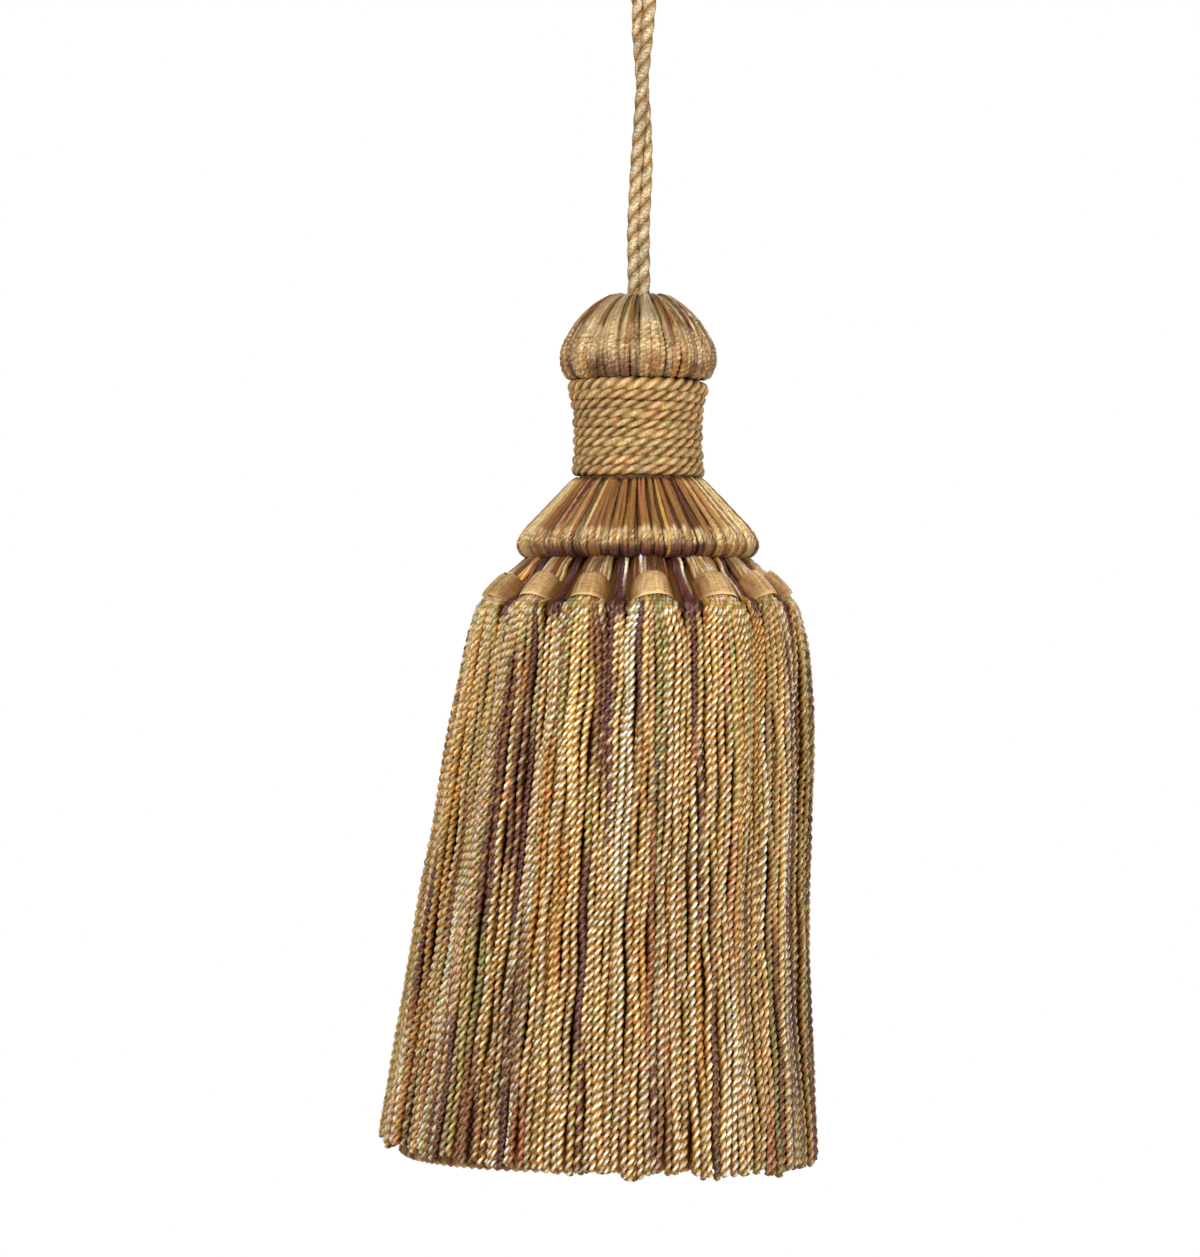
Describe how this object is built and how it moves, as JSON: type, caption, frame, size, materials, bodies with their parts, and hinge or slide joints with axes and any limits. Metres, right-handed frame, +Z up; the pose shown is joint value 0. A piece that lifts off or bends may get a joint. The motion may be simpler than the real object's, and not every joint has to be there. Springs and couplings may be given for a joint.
{
  "type": "key tassel",
  "caption": "Hanging silk key tassel: cord loop, yarn-covered head, cord-wound neck, flared bell, woven ribbon heading and a long skirt of twisted strands.",
  "frame": {"origin": "top of the hanging cord loop, where the tassel is held up", "axes": "+Z up, against the way the tassel hangs; the front, with the ribbon group beside the middle, faces -Y; +X is to the front's right"},
  "size_m": [0.0892, 0.0892, 0.264],
  "materials": {
    "cord_yarn": "twisted gold viscose cord, soft sheen",
    "head_yarn": "wrapped gold and olive yarn with plum streaks, satin sheen",
    "bell_yarn": "wrapped tan, gold and plum yarn, satin sheen",
    "satin_ribbon": "gold satin ribbon",
    "skirt_yarn": "two-ply twisted bullion in gold, olive, plum, cream and orange"
  },
  "bodies": {
    "root": {"loop_cord": "cord_yarn", "head_cover": "head_yarn", "neck_cord": "cord_yarn", "bell_cover": "bell_yarn", "ribbon": "satin_ribbon", "skirt": "skirt_yarn"}
  },
  "joints": []
}
